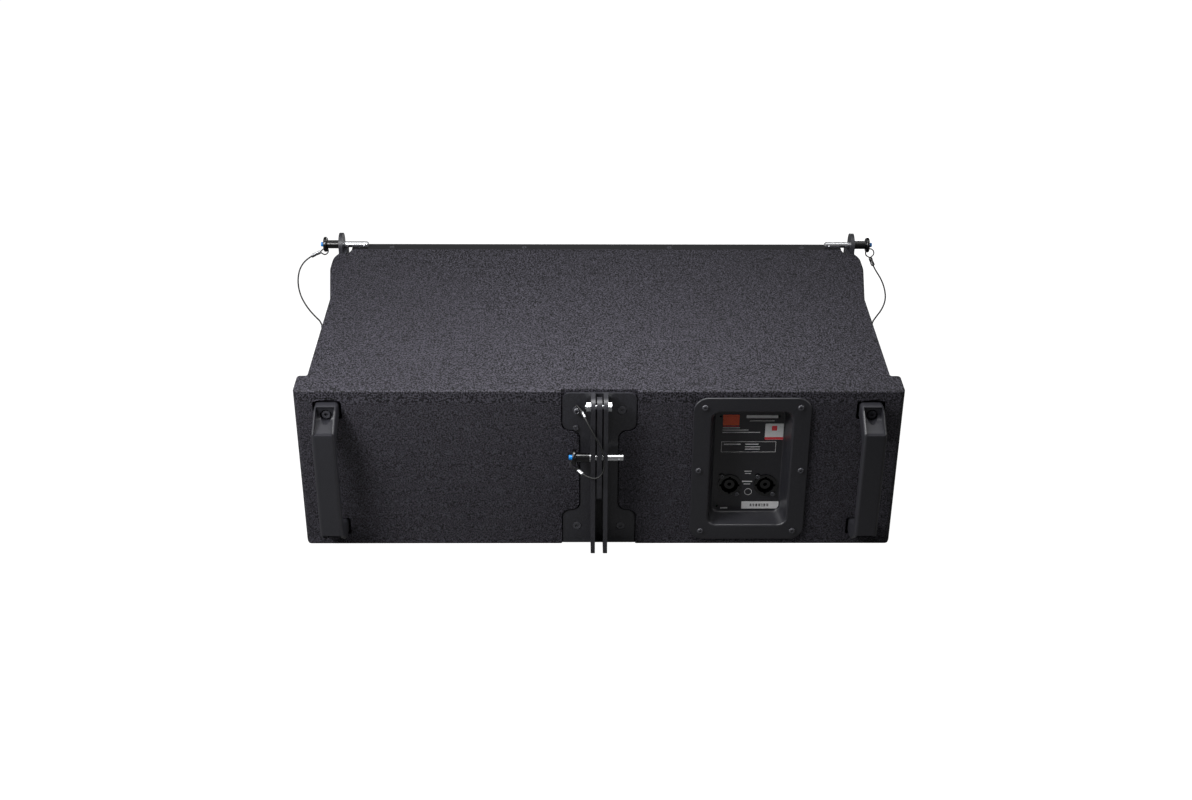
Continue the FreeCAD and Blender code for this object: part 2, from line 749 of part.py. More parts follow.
def pin_pieces(start, way):
    # start is the collar's inner face on the pin's axis; way points to the button
    def reach(u):
        return (start[0] + way * u, start[1], start[2])

    flange_end = collar_long + grip_long + flange_long
    shaft = rod(reach(-pin_reach), reach(collar_long + 10), pin_r)
    shaft = shaft.makeChamfer(0.8, [e for e in shaft.Edges if e.isClosed()
                                    and abs(e.CenterOfMass.x - reach(-pin_reach)[0]) < 0.01])
    shaft = joined([shaft, rod(reach(0), reach(collar_long), collar_r)])
    grip = rod(reach(collar_long), reach(flange_end), grip_r)
    head = rod(reach(flange_end - flange_long), reach(flange_end), flange_r)
    head = head.makeFillet(1.6, [e for e in head.Edges if e.isClosed()])
    grip = joined([grip, head]).cut([
        rod(reach(0), reach(collar_long + 10), pin_r),
        rod(reach(flange_end - 7), reach(flange_end + 1), button_r + running),
    ])
    button = rod(reach(flange_end - 7 + button_travel + 0.3), reach(flange_end + button_proud), button_r)
    button = button.makeFillet(0.8, [e for e in button.Edges if e.isClosed()
                                     and abs(e.CenterOfMass.x - reach(flange_end + button_proud)[0]) < 0.01])
    return {"shaft": shaft, "grip": grip, "button": button}


# ---- safety lanyards ----

lanyard_r = 1.0
rear_lanyard_route = [
    (23, 4, 83.5), (17.5, 19, 81.5), (9, 28.5, 66), (-3.5, 29.5, 43), (-6.5, 29.5, 26),
    (-4.5, 30.5, 12), (3, 30, 4.5), (13, 27, 5), (21, 21, 8), (26.5, 14.5, 10.5),
]
right_lanyard_route = [
    (368, -356, 126.5), (382, -353, 124), (394, -334, 121), (394, -303, 113.5), (386, -270, 106),
    (372, -239, 101.5), (357, -211, 101), (345, -188, 103), (340.5, -172, 98),
]
left_lanyard_route = [
    (-367.5, -357, 127), (-370.5, -354, 118), (-374, -344, 111), (-378.5, -322, 107),
    (-379.5, -297, 102.5), (-376, -270, 99), (-366, -242, 97.5), (-353, -213, 100),
    (-343.5, -190, 102), (-340.5, -174, 97),
]


def lanyard(name, points):
    # straight runs joined by tangent arcs
    points = [Vector(*p) for p in points]
    path, radii = [], []
    here = points[0]
    for before, corner, after in zip(points, points[1:], points[2:]):
        back, on = before - corner, after - corner
        short = min(back.Length, on.Length)
        back.normalize(), on.normalize()
        half_turn = (math.pi - back.getAngle(on)) / 2
        radius = 0.45 * short / math.tan(half_turn)
        inward = (back + on).normalize()
        middle = corner + inward * (radius / math.cos(half_turn) - radius)
        start, finish = corner + back * (0.45 * short), corner + on * (0.45 * short)
        path += [Part.LineSegment(here, start).toShape(), Part.Arc(start, middle, finish).toShape()]
        radii.append(radius)
        here = finish
    path.append(Part.LineSegment(here, points[-1]).toShape())
    wire = Part.Wire(path)
    ring = Part.Wire(Part.makeCircle(lanyard_r, points[0], points[1] - points[0]))
    tube = upright(wire.makePipeShell([ring], True, False))
    whole = math.pi * lanyard_r ** 2 * wire.Length
    print(name, "length %.1f mm" % wire.Length, "volume ratio %.4f" % (tube.Volume / whole),
          "radii", ["%.0f" % r for r in radii])
    return tube


# ---- the whole part ----

def drillings():
    holes = [rod((x, -26, z), (x, 5, z), 3.1) for x, z in rear_screw_places()]
    holes += [rod((27, -14, 55.5), (27, 5, 55.5), 2.1)]
    holes += both_sides([rod((handle_x, -24, z), (handle_x, 5, z), 2.6) for z in handle_screw_z])
    holes += [rod((input_x + x, -12, z), (input_x + x, 5, z), 2.1) for x, z in input_screws_at]
    holes += [grille_screw(top, normal, 0.15) for top, normal in grille_screw_places()]
    holes += both_sides([
        rod((341.8, -cheek_end - 1, z), (341.8, -cheek_end + 24, z), 1.7) for z in rail_screw_z
    ])
    return holes


def all_pieces():
    pieces = cabinet_panels(drillings())
    pieces.update(
        front_baffle=front_baffle(), internal_braces=internal_braces(),
        grille=grille(), grille_foam=grille_foam(), grille_screws=grille_screws(),
        handle_right=handle(), handle_left=other_side(handle()), handle_screws=handle_screws(),
        input_plate=input_plate(), speaker_sockets=speaker_sockets(), input_screws=input_screws(),
        crossover_board=crossover_board(), crossover_parts=crossover_parts(),
        driver_screws=driver_screws(), waveguide=waveguide(),
        compression_driver=compression_driver(), driver_cap=driver_cap(),
        rear_rigging_plate=rear_rigging_plate(), rear_plate_screws=rear_plate_screws(),
        rear_fork_plates=rear_fork_plates(), rear_link=rear_link(),
        rear_pivot_bolt=rear_pivot_bolt(), rear_pivot_nut=rear_pivot_nut(),
        front_link_right=front_link(), front_link_left=other_side(front_link()),
        front_rail_right=front_rail(), front_rail_left=other_side(front_rail()),
        front_rail_bolts=front_rail_bolts(), front_rail_screws=front_rail_screws(),
    )
    drivers = {"right": woofer(woofer_x), "left": woofer(-woofer_x)}
    for piece in ("magnet", "spider"):
        pieces["woofer_" + piece + "s"] = Part.Compound([drivers[s].pop(piece) for s in drivers])
    for side, parts in drivers.items():
        for piece, solid in parts.items():
            pieces["woofer_%s_%s" % (piece, side)] = solid
    pins = {
        "rear_pin": ((fin_outer + 0.15, rig_y, stow_z), 1),
        "front_pin_right": ((link_outer + 0.15, -link_depth, front_pin_z), 1),
        "front_pin_left": ((-link_outer - 0.15, -link_depth, front_pin_z), -1),
    }
    for pin, (start, way) in pins.items():
        for piece, solid in pin_pieces(start, way).items():
            pieces["%s_%s" % (pin, piece)] = solid
    pieces["lanyard_rear"] = lanyard("lanyard_rear", rear_lanyard_route)
    pieces["lanyard_right"] = lanyard("lanyard_right", right_lanyard_route)
    pieces["lanyard_left"] = lanyard("lanyard_left", left_lanyard_route)
    return pieces


def stand(shape, forward=0.0):
    shape = shape.copy()
    shape.rotate(Vector(), Vector(1, 0, 0), -math.degrees(taper))
    shape.translate(Vector(0, forward, rear_height / 2 * math.cos(taper)))
    return shape


os.makedirs("parts", exist_ok=True)
standing = {name: stand(shape) for name, shape in all_pieces().items()}
box = Part.Compound([s for name, s in standing.items() if "lanyard" not in name])
box = box.optimalBoundingBox(False)
middle_y = (box.YMin + box.YMax) / 2
print("middle_y %.4f" % middle_y, "box", box)
for name, shape in standing.items():
    shape = moved(shape, 0, -middle_y, 0)
    for solid in shape.Solids:
        if not solid.isValid() or solid.Volume <= 0:
            print("check", name, solid.Volume)
    shape.exportStep("parts/%s.step" % name)
print(len(standing), "nodes")
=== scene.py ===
import json
import math
import bpy
import bmesh
from mathutils import Matrix, Vector


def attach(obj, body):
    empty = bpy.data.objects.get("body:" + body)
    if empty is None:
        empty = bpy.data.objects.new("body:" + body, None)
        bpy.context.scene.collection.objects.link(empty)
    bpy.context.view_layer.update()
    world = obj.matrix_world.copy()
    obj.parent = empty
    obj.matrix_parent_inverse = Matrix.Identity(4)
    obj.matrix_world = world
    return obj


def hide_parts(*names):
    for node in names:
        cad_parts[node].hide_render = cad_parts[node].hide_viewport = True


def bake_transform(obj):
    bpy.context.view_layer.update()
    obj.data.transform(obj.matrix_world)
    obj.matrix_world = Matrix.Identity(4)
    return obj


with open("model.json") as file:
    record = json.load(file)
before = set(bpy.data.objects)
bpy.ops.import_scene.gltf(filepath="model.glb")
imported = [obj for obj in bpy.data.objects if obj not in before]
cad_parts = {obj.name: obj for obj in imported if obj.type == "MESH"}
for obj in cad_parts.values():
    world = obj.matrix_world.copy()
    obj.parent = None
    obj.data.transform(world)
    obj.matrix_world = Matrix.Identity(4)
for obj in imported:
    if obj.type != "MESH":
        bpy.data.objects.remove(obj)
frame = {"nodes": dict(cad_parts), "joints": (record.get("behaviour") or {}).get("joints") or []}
nodes, joints = frame["nodes"], {j["name"]: j for j in frame["joints"]}
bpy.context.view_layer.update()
print("frame loaded,", len(nodes), "CAD nodes")

# The cabinet stands on its sloping bottom, so its own axes lean a few degrees: x to the right
# seen from the front, y rearward with the rear panel's face at 0, z up from the mid plane.
# Places below are in those axes and in millimetres; onCabinet turns them to the frame's metres.
mm = 0.001
ownUp = Vector(joints["front_link_right_lift"]["axis"])
ownBack = Vector((0, ownUp.z, -ownUp.y))
hinge = Vector(joints["rear_link_swing"]["pos_m"])
hingeInOwn = dict(y=13.0, z=89.4)


def onCabinet(x, y, z):
    return (hinge + Vector((x * mm, 0, 0)) + ownBack * (y - hingeInOwn["y"]) * mm
            + ownUp * (z - hingeInOwn["z"]) * mm)


ownAxes = Matrix(((1, 0, 0), ownBack, ownUp)).transposed()

# camera: a short telephoto, above and behind, turned a little off square
camera = dict(lensMm=45.04, filmMm=36, distance=1.7049, elevation=22.34, azimuth=179.405, roll=0.241,
              aim=(4.0, 0, 91.7))


def addCamera():
    made = bpy.data.objects.new("camera", bpy.data.cameras.new("camera"))
    made.data.lens, made.data.sensor_width = camera["lensMm"], camera["filmMm"]
    lift, turn = math.radians(camera["elevation"]), math.radians(camera["azimuth"])
    back = Vector((math.sin(turn) * math.cos(lift), -math.cos(turn) * math.cos(lift), math.sin(lift)))
    made.rotation_mode = "QUATERNION"
    level = (-back).to_track_quat("-Z", "Y").to_matrix().to_4x4()
    level = level @ Matrix.Rotation(math.radians(camera["roll"]), 4, "Z")
    made.rotation_quaternion = level.to_quaternion()
    made.location = onCabinet(*camera["aim"]) + back * camera["distance"]
    bpy.context.scene.collection.objects.link(made)
    bpy.context.scene.camera = made


addCamera()
print("camera set")


# Small tools for meshes
def quadsBetween(low, high):
    count = len(low)
    return [[low[k], low[(k + 1) % count], high[(k + 1) % count], high[k]] for k in range(count)]


def wallsAndEnds(count):
    # a closed section of count points, given twice: its walls and its two ends
    first, last = list(range(count)), list(range(count, 2 * count))
    walls = [[k, (k + 1) % count, count + (k + 1) % count, count + k] for k in range(count)]
    return walls + [first[::-1], last]


def newPiece(name, vertices, faces, material=None, slot=None, smooth=False):
    mesh = bpy.data.meshes.new(name)
    mesh.from_pydata([tuple(v) for v in vertices], [], faces)
    mesh.validate()
    made = bpy.data.objects.new(name, mesh)
    bpy.context.scene.collection.objects.link(made)
    if material:
        mesh.materials.append(material)
    mesh.polygons.foreach_set("use_smooth", [smooth] * len(mesh.polygons))
    return made


def joinShapes(shapes):
    vertices, faces = [], []
    for points, loops in shapes:
        first = len(vertices)
        vertices += points
        faces += [[first + i for i in loop] for loop in loops]
    return vertices, faces


def lathe(profile, start, way, segments=32):
    # profile is (distance along way, radius) in mm; the ends close where the radius is 0
    way = Vector(way).normalized()
    side = way.orthogonal().normalized()
    other = way.cross(side)
    points, loops, rings = [], [], []
    for along, radius in profile:
        centre = start + way * along * mm
        if radius == 0:
            rings.append([len(points)])
            points.append(centre)
            continue
        rings.append(list(range(len(points), len(points) + segments)))
        for k in range(segments):
            turn = 2 * math.pi * k / segments
            points.append(centre + (side * math.cos(turn) + other * math.sin(turn)) * radius * mm)
    for low, high in zip(rings, rings[1:]):
        for k in range(segments):
            n = (k + 1) % segments
            if len(low) == 1:
                loops.append([low[0], high[n], high[k]])
            elif len(high) == 1:
                loops.append([low[k], low[n], high[0]])
            else:
                loops.append([low[k], low[n], high[n], high[k]])
    return points, [list(reversed(loop)) for loop in loops]


def tubeAlong(path, radiusAt, segments):
    # radiusAt(distance, angle) in metres gives the section, so strands can be twisted into it
    points, loops, rings = [], [], []
    frameUp = None
    travelled = 0.0
    last = len(path) - 1
    for i, centre in enumerate(path):
        way = (path[min(i + 1, last)] - path[max(i - 1, 0)]).normalized()
        if frameUp is None:
            frameUp = way.orthogonal().normalized()
        frameUp = (frameUp - way * frameUp.dot(way)).normalized()
        other = way.cross(frameUp)
        travelled += (centre - path[i - 1]).length if i else 0
        rings.append(list(range(len(points), len(points) + segments)))
        for k in range(segments):
            turn = 2 * math.pi * k / segments
            reach = radiusAt(travelled, turn)
            points.append(centre + (frameUp * math.cos(turn) + other * math.sin(turn)) * reach)
    for low, high in zip(rings, rings[1:]):
        loops += quadsBetween(low, high)
    return points, loops + [rings[0][::-1], rings[-1]]


# Materials. Hex colours are sRGB; colour() makes them linear.
def colour(code):
    parts = [int(code[i:i + 2], 16) / 255 for i in (1, 3, 5)]
    return tuple(c / 12.92 if c <= 0.04045 else ((c + 0.055) / 1.055) ** 2.4 for c in parts) + (1.0,)


def addNode(material, kind, settings=None, links=None):
    node = material.node_tree.nodes.new("ShaderNode" + kind)
    for name, value in (settings or {}).items():
        if isinstance(name, str) and hasattr(node, name):
            setattr(node, name, value)
        else:
            node.inputs[name].default_value = value
    for name, source in (links or {}).items():
        material.node_tree.links.new(source, node.inputs[name])
    return node


def newMaterial(name, **sockets):
    made = bpy.data.materials.new(name)
    made.use_nodes = True
    for socket, value in sockets.items():
        made.node_tree.nodes["Principled BSDF"].inputs[socket.replace("_", " ")].default_value = value
    return made


def feed(material, **sources):
    shader = material.node_tree.nodes["Principled BSDF"]
    for socket, source in sources.items():
        material.node_tree.links.new(source, shader.inputs[socket.replace("_", " ")])


def perMm(size):
    return 1 / (size * mm)  # texture scale whose features are about that many mm across


def mottled(material, low, high, sizeMm, spread=(0.3, 0.7), detail=3.0, stretch=(1, 1, 1)):
    # noise in the object's own space, and a ramp of colours between low and high
    place = addNode(material, "TexCoord")
    scaled = addNode(material, "Mapping", {"Scale": stretch}, {"Vector": place.outputs["Object"]})
    noise = addNode(material, "TexNoise", {"Scale": perMm(sizeMm), "Detail": detail},
                    {"Vector": scaled.outputs["Vector"]})
    ramp = addNode(material, "ValToRGB", {}, {"Fac": noise.outputs["Fac"]})
    ramp.color_ramp.elements[0].position, ramp.color_ramp.elements[1].position = spread
    ramp.color_ramp.elements[0].color, ramp.color_ramp.elements[1].color = colour(low), colour(high)
    return noise, ramp


def bumped(material, height, depthMm, strength=1.0, under=None):
    links = {"Height": height}
    if under:
        links["Normal"] = under
    return addNode(material, "Bump", {"Strength": strength, "Distance": depthMm * mm}, links).outputs["Normal"]


# Sprayed structure paint on birch plywood: hard droplets a couple of mm across that
# catch the light one by one, over a slightly uneven coat.
structurePaint = dict(low="#0a0a0d", high="#4d4b54", fineMm=0.7, dropletDepth=1.5, fineDepth=0.4,
                      roughness=(0.4, 0.66), specular=0.2)


def makeStructurePaint(name, dropletMm, spread):
    made = newMaterial(name, IOR=1.5, Specular_IOR_Level=structurePaint["specular"])
    noise, ramp = mottled(made, structurePaint["low"], structurePaint["high"], dropletMm, spread)
    fine, _ = mottled(made, "#000000", "#ffffff", structurePaint["fineMm"])
    coarse = bumped(made, noise.outputs["Fac"], structurePaint["dropletDepth"])
    grain = bumped(made, fine.outputs["Fac"], structurePaint["fineDepth"], 1.0, coarse)
    low, high = structurePaint["roughness"]
    rough = addNode(made, "MapRange", {"To Min": low, "To Max": high}, {"Value": noise.outputs["Fac"]})
    feed(made, Base_Color=ramp.outputs["Color"], Normal=grain, Roughness=rough.outputs["Result"])
    return made


# Powder-coated steel: even satin black with faint orange peel a mm or so across.
powderCoat = dict(peelMm=1.4, roughnessSpread=(-0.06, 0.08))


def makePowderCoat(name, low, high, roughness, depth=0.03):
    made = newMaterial(name, Roughness=roughness, IOR=1.5)
    noise, ramp = mottled(made, low, high, powderCoat["peelMm"], (0.35, 0.65))
    less, more = powderCoat["roughnessSpread"]
    rough = addNode(made, "MapRange", {"To Min": roughness + less, "To Max": roughness + more},
                    {"Value": noise.outputs["Fac"]})
    feed(made, Base_Color=ramp.outputs["Color"], Normal=bumped(made, noise.outputs["Fac"], depth),
         Roughness=rough.outputs["Result"])
    return made


# Moulded plastics, such as glass-filled nylon: an even colour, a fine spark-eroded texture, and a
# roughness that drifts slowly over the part.
moulded = dict(driftMm=60, roughnessSpread=(-0.05, 0.06))


def makeMoulded(name, low, high, textureMm, depth, roughness):
    made = newMaterial(name, Roughness=roughness, IOR=1.53)
    noise, ramp = mottled(made, low, high, textureMm, (0.3, 0.7), 2.0)
    broad, _ = mottled(made, "#000000", "#ffffff", moulded["driftMm"])
    less, more = moulded["roughnessSpread"]
    rough = addNode(made, "MapRange", {"To Min": roughness + less, "To Max": roughness + more},
                    {"Value": broad.outputs["Fac"]})
    feed(made, Base_Color=ramp.outputs["Color"], Normal=bumped(made, noise.outputs["Fac"], depth),
         Roughness=rough.outputs["Result"])
    return made


# Metals: brushed or plated unevenly, so the roughness varies. Turned steel has fine rings round its
# axis, so the noise is stretched across X.
metal = dict(roughnessTimes=(0.75, 1.35))


def makeMetal(name, low, high, roughness, sizeMm, stretch, depth):
    made = newMaterial(name, Metallic=1.0, Roughness=roughness)
    noise, ramp = mottled(made, low, high, sizeMm, (0.3, 0.75), 4.0, stretch)
    less, more = metal["roughnessTimes"]
    rough = addNode(made, "MapRange", {"To Min": roughness * less, "To Max": roughness * more},
                    {"Value": noise.outputs["Fac"]})
    feed(made, Base_Color=ramp.outputs["Color"], Normal=bumped(made, noise.outputs["Fac"], depth),
         Roughness=rough.outputs["Result"])
    return made


# Birch plywood: long grain streaks, open and matt.
def makeWood():
    made = newMaterial("birch_plywood", Roughness=0.7, IOR=1.5)
    noise, ramp = mottled(made, "#b98f5a", "#dcbc8b", 3.0, (0.3, 0.7), 5.0, (0.08, 1, 1))
    feed(made, Base_Color=ramp.outputs["Color"], Normal=bumped(made, noise.outputs["Fac"], 0.1))
    return made


# Open-cell foam: dark pores of about 2 mm.
def makeFoam():
    made = newMaterial("open_cell_foam", Roughness=0.95, IOR=1.4)
    place = addNode(made, "TexCoord")
    cells = addNode(made, "TexVoronoi", {"Scale": perMm(2.0)}, {"Vector": place.outputs["Object"]})
    ramp = addNode(made, "ValToRGB", {}, {"Fac": cells.outputs["Distance"]})
    ramp.color_ramp.elements[0].color, ramp.color_ramp.elements[1].color = colour("#0a0a0b"), colour("#232325")
    feed(made, Base_Color=ramp.outputs["Color"], Normal=bumped(made, cells.outputs["Distance"], 0.6))
    return made


# Cloth with threads at a real spacing, for the spider.
def makeCloth():
    made = newMaterial("resin_dipped_cloth", Roughness=0.8, IOR=1.45)
    place = addNode(made, "TexCoord")
    threads = {"Scale": perMm(1.2), "Color1": colour("#a9793b"), "Color2": colour("#8a5f2c")}
    weave = addNode(made, "TexChecker", threads, {"Vector": place.outputs["Object"]})
    feed(made, Base_Color=weave.outputs["Color"], Normal=bumped(made, weave.outputs["Fac"], 0.2))
    return made


finish = {
    "paint": makeStructurePaint("structure_paint", 1.5, (0.37, 0.67)),
    "heavyPaint": makeStructurePaint("structure_paint_heavy", 1.9, (0.42, 0.61)),
    "steel": makePowderCoat("powder_coated_steel", "#232327", "#323238", 0.42),
    "grille": makePowderCoat("grille_powder_coat", "#101012", "#1b1b1e", 0.38, 0.02),
    "basket": makePowderCoat("basket_enamel", "#141415", "#222224", 0.35),
    "nylon": makeMoulded("glass_filled_nylon", "#1f1f24", "#2b2b31", 0.6, 0.025, 0.46),
    "panel": makeMoulded("moulded_abs", "#1f1f24", "#2b2b30", 0.8, 0.02, 0.36),
    "grip": makeMoulded("moulded_grip", "#030304", "#09090b", 0.5, 0.005, 0.2),
    "horn": makeMoulded("moulded_horn", "#121214", "#1c1c1e", 0.8, 0.02, 0.4),
    "button": makeMoulded("blue_acetal", "#1583dc", "#2798f0", 0.5, 0.01, 0.25),
    "cone": makeMoulded("coated_paper_pulp", "#161617", "#2a2a2b", 1.2, 0.12, 0.7),
    "rubber": makeMoulded("butyl_rubber", "#101011", "#1b1b1c", 0.6, 0.02, 0.55),
    "ferrite": makeMoulded("sintered_ferrite", "#2a2a2c", "#3d3d40", 0.7, 0.05, 0.6),
    "board": makeMoulded("glass_epoxy_board", "#0c4a2a", "#14603a", 3.0, 0.01, 0.35),
    "cable": makeMoulded("nylon_coated_cable", "#020202", "#060607", 0.4, 0.02, 0.6),
    "bright": makeMetal("turned_stainless", "#b9babd", "#e9eaec", 0.2, 0.5, (3, 0.3, 0.3), 0.008),
    "zinc": makeMetal("zinc_plated_steel", "#a9acb0", "#dfe1e4", 0.3, 2.0, (1, 1, 1), 0.02),
    "sleeve": makeMetal("pressed_aluminium", "#8d8e91", "#c9cacd", 0.34, 0.8, (1, 1, 1), 0.04),
    "yoke": makeMetal("plated_yoke", "#8c9094", "#b5b9bd", 0.35, 2.0, (1, 1, 1), 0.02),
    "screw": makeMoulded("black_oxide_steel", "#3a3a3f", "#505056", 0.8, 0.01, 0.26),
    "copper": makeMetal("enamelled_copper", "#8c4a22", "#c0703a", 0.3, 0.8, (1, 1, 8), 0.1),
    "former": makeMetal("aluminium_former", "#b5b6b8", "#dcdddf", 0.3, 1.0, (1, 1, 1), 0.02),
    "ink_white": makeMoulded("screen_ink_white", "#ececee", "#ffffff", 0.6, 0.005, 0.5),
    "ink_red": makeMoulded("screen_ink_red", "#e23a42", "#f0484f", 0.6, 0.005, 0.5),
    "ink_black": makeMoulded("screen_ink_black", "#121214", "#1b1b1d", 0.6, 0.005, 0.5),
    "badge_orange": makeMoulded("enamelled_badge", "#f4511f", "#ff6630", 0.8, 0.005, 0.4),
    "sticker_white": makeMoulded("coated_label_paper", "#f1f1f3", "#ffffff", 1.0, 0.01, 0.55),
    "wood": makeWood(), "foam": makeFoam(), "cloth": makeCloth(),
}
nodeFinish = {
    "heavyPaint": ["top_panel"], "paint": ["bottom_panel", "left_side_panel", "right_side_panel", "rear_panel"],
    "wood": ["front_baffle", "internal_braces"],
    "grille": ["grille"], "foam": ["grille_foam"], "board": ["crossover_board"], "copper": ["crossover_parts"],
    "nylon": ["handle_left", "handle_right"], "panel": ["input_plate"], "grip": ["speaker_sockets"],
    "horn": ["waveguide"], "basket": ["compression_driver", "driver_cap"],
    "steel": ["rear_rigging_plate", "rear_fork_plates", "rear_link", "front_link_left", "front_link_right",
              "front_rail_left", "front_rail_right"],
    "zinc": ["rear_pivot_bolt", "rear_pivot_nut"],
    "screw": ["grille_screws", "handle_screws", "input_screws", "driver_screws", "rear_plate_screws",
              "front_rail_bolts", "front_rail_screws"],
    "ferrite": ["woofer_magnets"], "cloth": ["woofer_spiders"],
}
woofer = {"basket": "basket", "yoke": "yoke", "cone": "cone", "dust_cap": "cone", "voice_coil": "former",
          "surround": "rubber"}
for side in ("left", "right"):
    for part, look in woofer.items():
        nodeFinish.setdefault(look, []).append("woofer_%s_%s" % (part, side))
for pin in ("rear_pin", "front_pin_left", "front_pin_right"):
    for part, look in (("shaft", "bright"), ("grip", "grip"), ("button", "button")):
        nodeFinish.setdefault(look, []).append("%s_%s" % (pin, part))
for look, names in nodeFinish.items():
    for name in names:
        nodes[name].data.materials.clear()
        nodes[name].data.materials.append(finish[look])
print("materials made,", len(finish))

# Lanyards: 2 mm nylon-coated wire rope, hung from each pin to the cabinet. Routes are the
# CAD route's points in the cabinet's own axes.
lanyard = dict(diameterMm=2.0, strands=6, layMm=14.0, strandDepth=0.07, ringEveryMm=1.0, segments=24,
               curveOrder=3, curveSteps=24)
routes = {
    "rear": [(23, 4, 83.5), (17.5, 19, 81.5), (9, 28.5, 66), (-3.5, 29.5, 43), (-6.5, 29.5, 26),
             (-4.5, 30.5, 12), (3, 30, 4.5), (13, 27, 5), (21, 21, 8), (26.5, 14.5, 10.5)],
    "right": [(369, -354, 132), (382, -352, 127.5), (394, -334, 121), (394, -303, 113.5), (386, -270, 106),
              (372, -239, 101.5), (357, -211, 101), (345, -188, 103), (340.5, -172, 98)],
    "left": [(-368, -356.5, 124.5), (-370.5, -354, 118), (-374, -344, 111), (-378.5, -322, 107),
             (-379.5, -297, 102.5), (-376, -270, 99), (-366, -242, 97.5), (-353, -213, 100),
             (-343.5, -190, 102), (-340.5, -174, 97)],
}


def smoothLine(name, points):
    curve = bpy.data.curves.new(name + "_line", "CURVE")
    curve.dimensions = "3D"
    spline = curve.splines.new("NURBS")
    spline.points.add(len(points) - 1)
    for control, point in zip(spline.points, points):
        control.co = (*onCabinet(*point), 1)
    spline.order_u = lanyard["curveOrder"]
    spline.use_endpoint_u = True
    spline.resolution_u = lanyard["curveSteps"]
    holder = bpy.data.objects.new(name + "_line", curve)
    bpy.context.scene.collection.objects.link(holder)
    bpy.context.view_layer.update()
    line = bpy.data.meshes.new_from_object(holder.evaluated_get(bpy.context.evaluated_depsgraph_get()))
    found = [v.co.copy() for v in line.vertices]
    bpy.data.objects.remove(holder)
    bpy.data.meshes.remove(line)
    return evenSteps(found, lanyard["ringEveryMm"] * mm)


def lineLength(line):
    return sum((b - a).length for a, b in zip(line, line[1:]))


def evenSteps(line, step):
    count = max(2, round(lineLength(line) / step))
    spacing, found, passed = lineLength(line) / count, [line[0]], 0.0
    for a, b in zip(line, line[1:]):
        stretch = (b - a).length
        while stretch and passed + stretch >= spacing * len(found) - 1e-9 and len(found) < count:
            found.append(a.lerp(b, (spacing * len(found) - passed) / stretch))
        passed += stretch
    return found + [line[-1]]


def ropeSection(distance, turn):
    phase = lanyard["strands"] * (turn + 2 * math.pi * distance / (lanyard["layMm"] * mm))
    return lanyard["diameterMm"] / 2 * mm * (1 - lanyard["strandDepth"] * (0.5 - 0.5 * math.cos(phase)))


def addRope(name, line, replaced=None, fittings=()):
    shape = tubeAlong(line, ropeSection, lanyard["segments"])
    made = newPiece(name, *shape, finish["cable"], "lanyard_black", True)
    if replaced:
        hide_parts(replaced)
    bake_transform(made)


# Each end is doubled back into an eye and held by a flat double sleeve pressed over both strands.
fitting = dict(
    sleeveHalf=(2.6, 1.7), sides=20, lookMm=0.5,
    # how far along the sleeve, and its size there: rounded ends, and a waist where the tool closed
    sleeveSizes=[(0, 0.6), (0.04, 0.86), (0.1, 1.0), (0.42, 1.0), (0.5, 0.9), (0.58, 1.0), (0.9, 1.0),
                 (0.96, 0.86), (1, 0.6)],
    eyeRopeMm=1.7, eyeSides=10, strandApartMm=0.8, eyeStepMm=0.8, eyeSweep=250, eyePoints=24,
    screwSides=28)
flatX, flatZ = (1, 0, 0), (0, 0, 1)
ends = {
    # eye: centre, radius and an axis it lies along; sleeve: from and to along the rope, from that end
    "rear_wall": dict(rope="rear", reverse=False, eye=(25.5, 1.6, 79), radius=6.0, flat=flatZ,
                      sleeve=(8, 18)),
    "rear_pin": dict(rope="rear", reverse=True, eye=(29, 13, 14.5), radius=4.4, flat=flatX,
                     sleeve=(3, 12)),
    "right_pin": dict(rope="right", reverse=False, eye=(364.5, -358, 131), radius=4.6, flat=flatZ,
                      sleeve=(1, 15)),
    "right_wall": dict(rope="right", reverse=True, eye=(340.0, -163, 96), radius=4.6, flat=flatZ,
                       sleeve=(3, 12)),
    "left_pin": dict(rope="left", reverse=False, eye=(-367.5, -358, 129.5), radius=5.6, flat=flatX,
                     sleeve=(1, 13), look="grip"),
    "left_wall": dict(rope="left", reverse=True, eye=(-340.0, -165, 96), radius=4.6, flat=flatZ,
                      sleeve=(3, 12)),
}


def alongRope(line, distance):
    for a, b in zip(line, line[1:]):
        stretch = (b - a).length
        if distance <= stretch:
            return a.lerp(b, distance / stretch)
        distance -= stretch
    return line[-1]


def sleeveShape(line, first, last, flat):
    wide, thin = fitting["sleeveHalf"]
    sides, look = fitting["sides"], fitting["lookMm"] * mm
    points, loops, rings = [], [], []
    for share, size in fitting["sleeveSizes"]:
        at = (first + (last - first) * share) * mm
        centre = alongRope(line, at)
        way = (alongRope(line, at + look) - alongRope(line, max(0, at - look))).normalized()
        across = (flat - way * flat.dot(way)).normalized()
        other = way.cross(across)
        rings.append(list(range(len(points), len(points) + sides)))
        for k in range(sides):
            turn = 2 * math.pi * k / sides
            points.append(centre + (across * math.cos(turn) * wide + other * math.sin(turn) * thin) * size * mm)
    for low, high in zip(rings, rings[1:]):
        loops += quadsBetween(low, high)
    return points, loops + [rings[0][::-1], rings[-1]]


